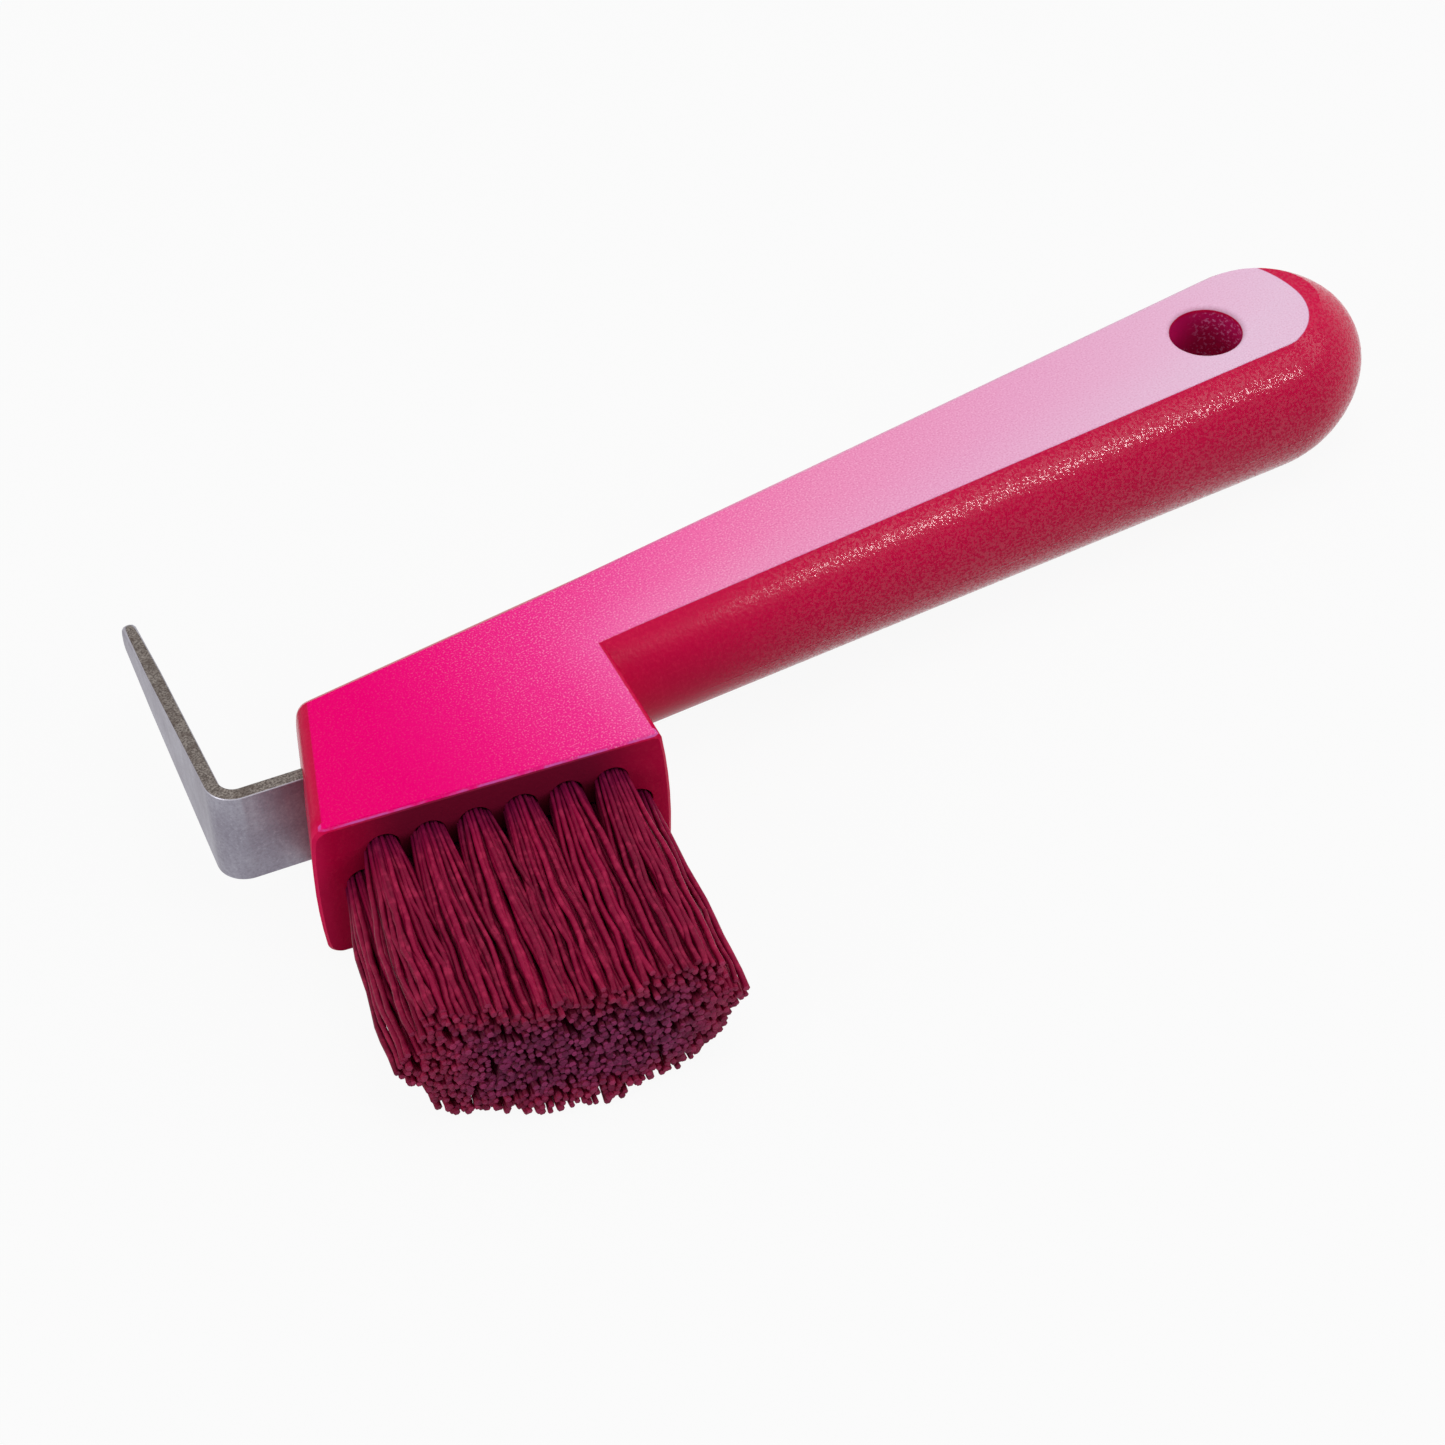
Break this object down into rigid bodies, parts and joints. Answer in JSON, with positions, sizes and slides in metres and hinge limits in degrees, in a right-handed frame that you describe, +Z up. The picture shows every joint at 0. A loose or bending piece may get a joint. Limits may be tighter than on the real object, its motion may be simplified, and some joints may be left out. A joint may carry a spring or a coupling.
{
  "type": "hoof pick",
  "caption": "Hand tool with a tapered moulded handle, a bent steel pick at one end of its head and tufts of stiff bristle along the head.",
  "frame": {"origin": "middle of the bounding box, on the surface that the tool lies on", "axes": "+X along the handle to its butt, +Z up out of the printed flat, -Y the way the bristles point"},
  "size_m": [0.1776, 0.0982, 0.0223],
  "materials": {
    "moulding": "fine pebbled satin, crimson, with a pink print that fades along the upper flat",
    "steel": "satin rolled faces with rougher sheared edges",
    "wire": "bright drawn flat wire",
    "bristle": "semi-gloss crimson filament"
  },
  "bodies": {
    "root": {"handle_body": "moulding", "pick_blade": "steel", "tuft_anchors": "wire", "tuft_top_1": "bristle", "tuft_top_2": "bristle", "tuft_top_3": "bristle", "tuft_top_4": "bristle", "tuft_top_5": "bristle", "tuft_top_6": "bristle", "tuft_middle_1": "bristle", "tuft_middle_2": "bristle", "tuft_middle_3": "bristle", "tuft_middle_4": "bristle", "tuft_middle_5": "bristle", "tuft_middle_6": "bristle", "tuft_middle_7": "bristle", "tuft_lower_1": "bristle", "tuft_lower_2": "bristle", "tuft_lower_3": "bristle", "tuft_lower_4": "bristle", "tuft_lower_5": "bristle", "tuft_lower_6": "bristle"}
  },
  "joints": []
}
